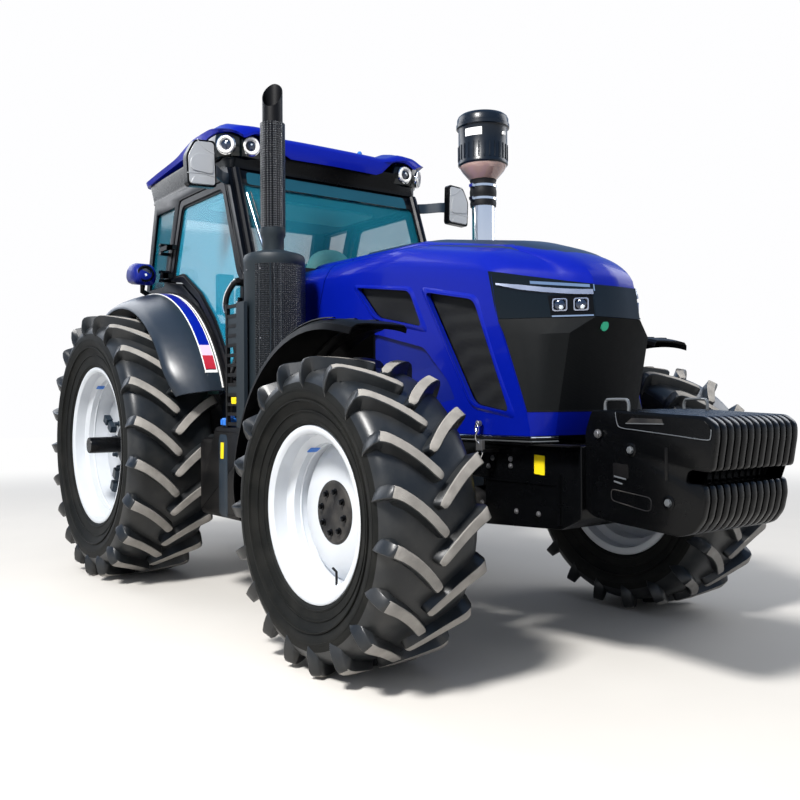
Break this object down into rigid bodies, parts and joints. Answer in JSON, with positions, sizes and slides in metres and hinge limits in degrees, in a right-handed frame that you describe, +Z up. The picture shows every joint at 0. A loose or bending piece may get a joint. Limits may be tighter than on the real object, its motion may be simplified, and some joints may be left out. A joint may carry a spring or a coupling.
{
  "type": "farm tractor",
  "caption": "Four-wheel-drive farm tractor with closed cab, front suitcase weights, steered front axle, opening hood and doors, and a rear three-point linkage.",
  "frame": {"origin": "on the ground, centred under the whole machine in length and width", "axes": "+X forward, +Y to the tractor's left, +Z up"},
  "size_m": [5.611, 2.76, 3.2131],
  "materials": {
    "paint_blue": "gloss",
    "black_steel": "gloss",
    "cast_dark": "painted",
    "rubber_black": "matte",
    "rim_white": "satin",
    "mesh_black": "mesh",
    "band_black": "gloss",
    "fender_grey": "satin",
    "guard_black": "satin",
    "clear_glass": "clear",
    "lamp_clear": "lens",
    "lamp_red": "lens",
    "stack_black": "heat resistant",
    "intake_black": "satin",
    "tank_slate": "satin",
    "seat_cloth": "woven",
    "trim_mint": "satin",
    "hitch_steel": "machined"
  },
  "bodies": {
    "chassis": {"front_frame": "black_steel", "engine": "cast_dark", "gearbox": "cast_dark", "front_axle_beam": "black_steel", "weights": "black_steel", "cowl": "paint_blue", "cab_frame": "band_black", "cab_glass": "clear_glass", "cab_roof": "paint_blue", "roof_lamps": "lamp_clear", "mirrors": "band_black", "seat": "seat_cloth", "console": "trim_mint", "fenders": "fender_grey", "exhaust": "stack_black", "air_cleaner": "intake_black", "tanks": "tank_slate", "steps_left": "black_steel", "top_link": "hitch_steel", "drawbar": "hitch_steel", "tail_lamps": "lamp_red"},
    "hood": {"hood": "paint_blue", "grille": "mesh_black", "lamp_band": "band_black"},
    "door_right": {"door_right": "band_black"},
    "door_left": {"door_left": "band_black"},
    "knuckle_right": {"knuckle_right": "cast_dark", "mudguard_front_right": "guard_black"},
    "wheel_front_right": {"tyre_front_right": "rubber_black", "rim_front_right": "rim_white"},
    "wheel_rear_right": {"tyre_rear_right": "rubber_black", "rim_rear_right": "rim_white"},
    "lower_link_right": {"lower_link_right": "hitch_steel"},
    "lift_rod_right": {"lift_rod_right": "hitch_steel"},
    "knuckle_left": {"knuckle_left": "cast_dark", "mudguard_front_left": "guard_black"},
    "wheel_front_left": {"tyre_front_left": "rubber_black", "rim_front_left": "rim_white"},
    "wheel_rear_left": {"tyre_rear_left": "rubber_black", "rim_rear_left": "rim_white"},
    "lower_link_left": {"lower_link_left": "hitch_steel"},
    "lift_rod_left": {"lift_rod_left": "hitch_steel"},
    "tie_rod": {"tie_rod": "hitch_steel"},
    "lift_arms": {"lift_arms": "black_steel"}
  },
  "joints": [
    {"name": "steer_left", "type": "hinge", "parent": "chassis", "child": "knuckle_left", "pos_m": [1.36, 0.88, 0.724], "axis": [0, 0, 1], "range_deg": [-35, 35]},
    {"name": "spin_front_left", "type": "hinge", "parent": "knuckle_left", "child": "wheel_front_left", "pos_m": [1.36, 1.072, 0.724], "axis": [0, 1, 0], "continuous": true},
    {"name": "spin_rear_left", "type": "hinge", "parent": "chassis", "child": "wheel_rear_left", "pos_m": [-1.58, 1.075, 0.94], "axis": [0, 1, 0], "continuous": true},
    {"name": "steer_right", "type": "hinge", "parent": "chassis", "child": "knuckle_right", "pos_m": [1.36, -0.88, 0.724], "axis": [0, 0, 1], "range_deg": [-35, 35]},
    {"name": "spin_front_right", "type": "hinge", "parent": "knuckle_right", "child": "wheel_front_right", "pos_m": [1.36, -1.072, 0.724], "axis": [0, 1, 0], "continuous": true},
    {"name": "spin_rear_right", "type": "hinge", "parent": "chassis", "child": "wheel_rear_right", "pos_m": [-1.58, -1.075, 0.94], "axis": [0, 1, 0], "continuous": true},
    {"name": "tie_rod_pin", "type": "hinge", "parent": "knuckle_left", "child": "tie_rod", "pos_m": [1.13, 0.88, 0.724], "axis": [0, 0, 1], "range_deg": [-35, 35]},
    {"name": "door_right_hinge", "type": "hinge", "parent": "chassis", "child": "door_right", "pos_m": [-1.525, -0.838, 2.38], "axis": [0, 0, -1], "range_deg": [0, 70]},
    {"name": "door_left_hinge", "type": "hinge", "parent": "chassis", "child": "door_left", "pos_m": [-1.525, 0.838, 2.38], "axis": [0, 0, 1], "range_deg": [0, 70]},
    {"name": "hood_hinge", "type": "hinge", "parent": "chassis", "child": "hood", "pos_m": [0.289, 0, 2.192], "axis": [0, -1, 0], "range_deg": [0, 45]},
    {"name": "lift_right", "type": "hinge", "parent": "chassis", "child": "lower_link_right", "pos_m": [-2, -0.345, 0.67], "axis": [0, 1, 0], "range_deg": [-20, 30]},
    {"name": "lift_left", "type": "hinge", "parent": "chassis", "child": "lower_link_left", "pos_m": [-2, 0.345, 0.67], "axis": [0, 1, 0], "range_deg": [-20, 30]},
    {"name": "rockshaft", "type": "hinge", "parent": "chassis", "child": "lift_arms", "pos_m": [-2, 0, 1.15], "axis": [0, 1, 0], "range_deg": [-20, 30]},
    {"name": "lift_rod_right_pin", "type": "hinge", "parent": "lift_arms", "child": "lift_rod_right", "pos_m": [-2.4, -0.3871, 1.13], "axis": [0, 1, 0], "range_deg": [-30, 20]},
    {"name": "lift_rod_left_pin", "type": "hinge", "parent": "lift_arms", "child": "lift_rod_left", "pos_m": [-2.4, 0.3871, 1.13], "axis": [0, 1, 0], "range_deg": [-30, 20]}
  ],
  "couplings": [
    {"joint": "steer_right", "follows": "steer_left", "ratio": 1},
    {"joint": "tie_rod_pin", "follows": "steer_left", "ratio": -1},
    {"joint": "lift_left", "follows": "lift_right", "ratio": 1},
    {"joint": "rockshaft", "follows": "lift_right", "ratio": 1},
    {"joint": "lift_rod_right_pin", "follows": "lift_right", "ratio": -1},
    {"joint": "lift_rod_left_pin", "follows": "lift_right", "ratio": -1}
  ]
}
